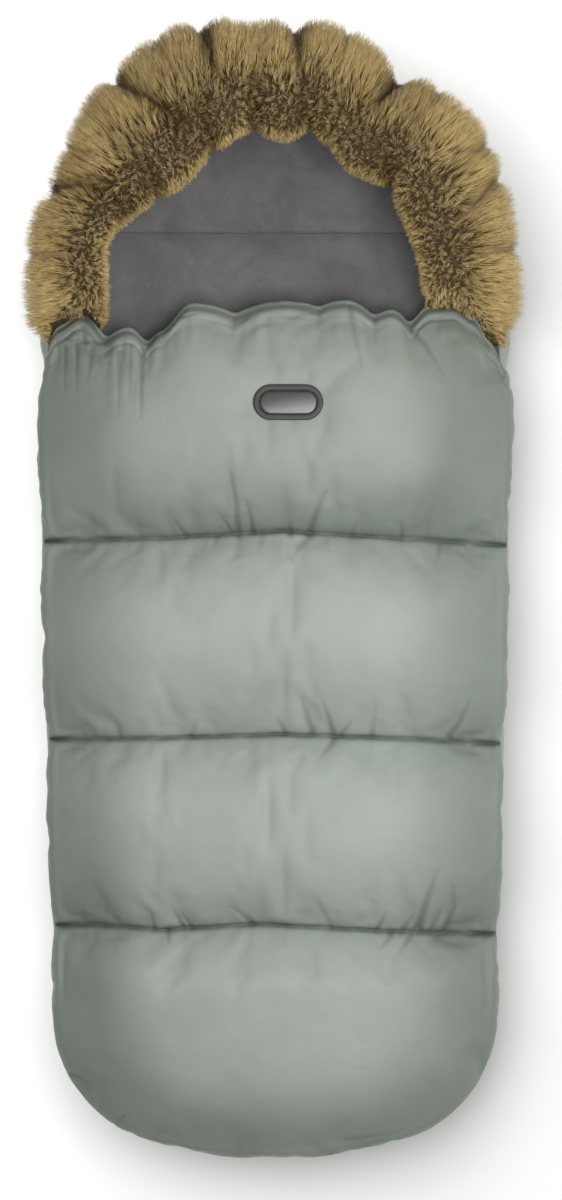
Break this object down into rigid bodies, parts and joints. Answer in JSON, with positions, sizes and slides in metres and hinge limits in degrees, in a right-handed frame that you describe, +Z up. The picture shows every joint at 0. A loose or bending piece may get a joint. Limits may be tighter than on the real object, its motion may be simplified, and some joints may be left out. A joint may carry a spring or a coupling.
{
  "type": "stroller footmuff",
  "caption": "Quilted padded footmuff for a stroller seat, with a fur-trimmed hood, a cover that zips on at both sides and a top flap that folds back.",
  "frame": {"origin": "on the floor under the middle of the back, where the outer fabric rests flat", "axes": "+Y to the head end, +Z up from the floor through the cover, +X to the right of the picture"},
  "size_m": [0.4503, 1.055, 0.1561],
  "materials": {
    "outer_fabric": "smooth woven polyester, soft sheen, sage green",
    "wadding": "white fibre filling",
    "fleece": "short brushed pile, grey",
    "faux_fur": "long pile, dark roots and khaki tips",
    "binding": "woven binding tape",
    "elastic": "woven elastic",
    "zip_tape": "woven zip tape",
    "zip_coil": "nylon coil",
    "zip_metal": "dark lacquered zinc",
    "badge_rim": "moulded, dark grey, semi matt",
    "badge_face": "satin grey metal, blank"
  },
  "bodies": {
    "back": {"back_outer_fabric": "outer_fabric", "back_wadding": "wadding", "back_lining": "fleece", "hood_lining": "fleece", "hood_rim_elastic": "elastic", "fur_trim": "faux_fur", "slot_binding_upper_left": "binding", "slot_binding_upper_right": "binding", "slot_binding_lower_left": "binding", "slot_binding_lower_right": "binding", "slot_binding_crotch": "binding", "back_zip_tape_left": "zip_tape", "back_zip_tape_right": "zip_tape", "back_zip_coil_left": "zip_coil", "back_zip_coil_right": "zip_coil", "zip_top_stop_left": "zip_metal", "zip_top_stop_right": "zip_metal", "foot_hinge_strip": "binding"},
    "cover": {"cover_outer_fabric": "outer_fabric", "cover_wadding": "wadding", "cover_lining": "fleece", "cover_zip_tape_left": "zip_tape", "cover_zip_tape_right": "zip_tape", "cover_zip_coil_left": "zip_coil", "cover_zip_coil_right": "zip_coil"},
    "flap": {"flap_outer_fabric": "outer_fabric", "flap_wadding": "wadding", "flap_lining": "fleece", "hem_elastic": "elastic", "badge_frame": "badge_rim", "badge_plate": "badge_face", "flap_zip_tape_left": "zip_tape", "flap_zip_tape_right": "zip_tape", "flap_zip_coil_left": "zip_coil", "flap_zip_coil_right": "zip_coil"},
    "slider_left": {"slider_left": "zip_metal"},
    "slider_right": {"slider_right": "zip_metal"},
    "pull_left": {"pull_left": "zip_metal"},
    "pull_right": {"pull_right": "zip_metal"}
  },
  "joints": [
    {"name": "cover_opens", "type": "hinge", "parent": "back", "child": "cover", "pos_m": [0, -0.5278, 0.0494], "axis": [1, 0, 0], "range_deg": [0, 170]},
    {"name": "flap_folds_back", "type": "hinge", "parent": "cover", "child": "flap", "pos_m": [0, 0.051, 0.06986], "axis": [-1, 0, 0], "range_deg": [-106, 0]},
    {"name": "slider_left_runs", "type": "slide", "parent": "back", "child": "slider_left", "axis": [0.0273, -0.9996, 0], "range_m": [0, 0.54]},
    {"name": "slider_right_runs", "type": "slide", "parent": "back", "child": "slider_right", "axis": [-0.0273, -0.9996, 0], "range_m": [0, 0.54]},
    {"name": "pull_left_swings", "type": "hinge", "parent": "slider_left", "child": "pull_left", "pos_m": [-0.21205, 0.20289, 0.0494], "axis": [0, 0, -1], "range_deg": [0, 170]},
    {"name": "pull_right_swings", "type": "hinge", "parent": "slider_right", "child": "pull_right", "pos_m": [0.21205, 0.20289, 0.0494], "axis": [0, 0, 1], "range_deg": [0, 170]}
  ]
}
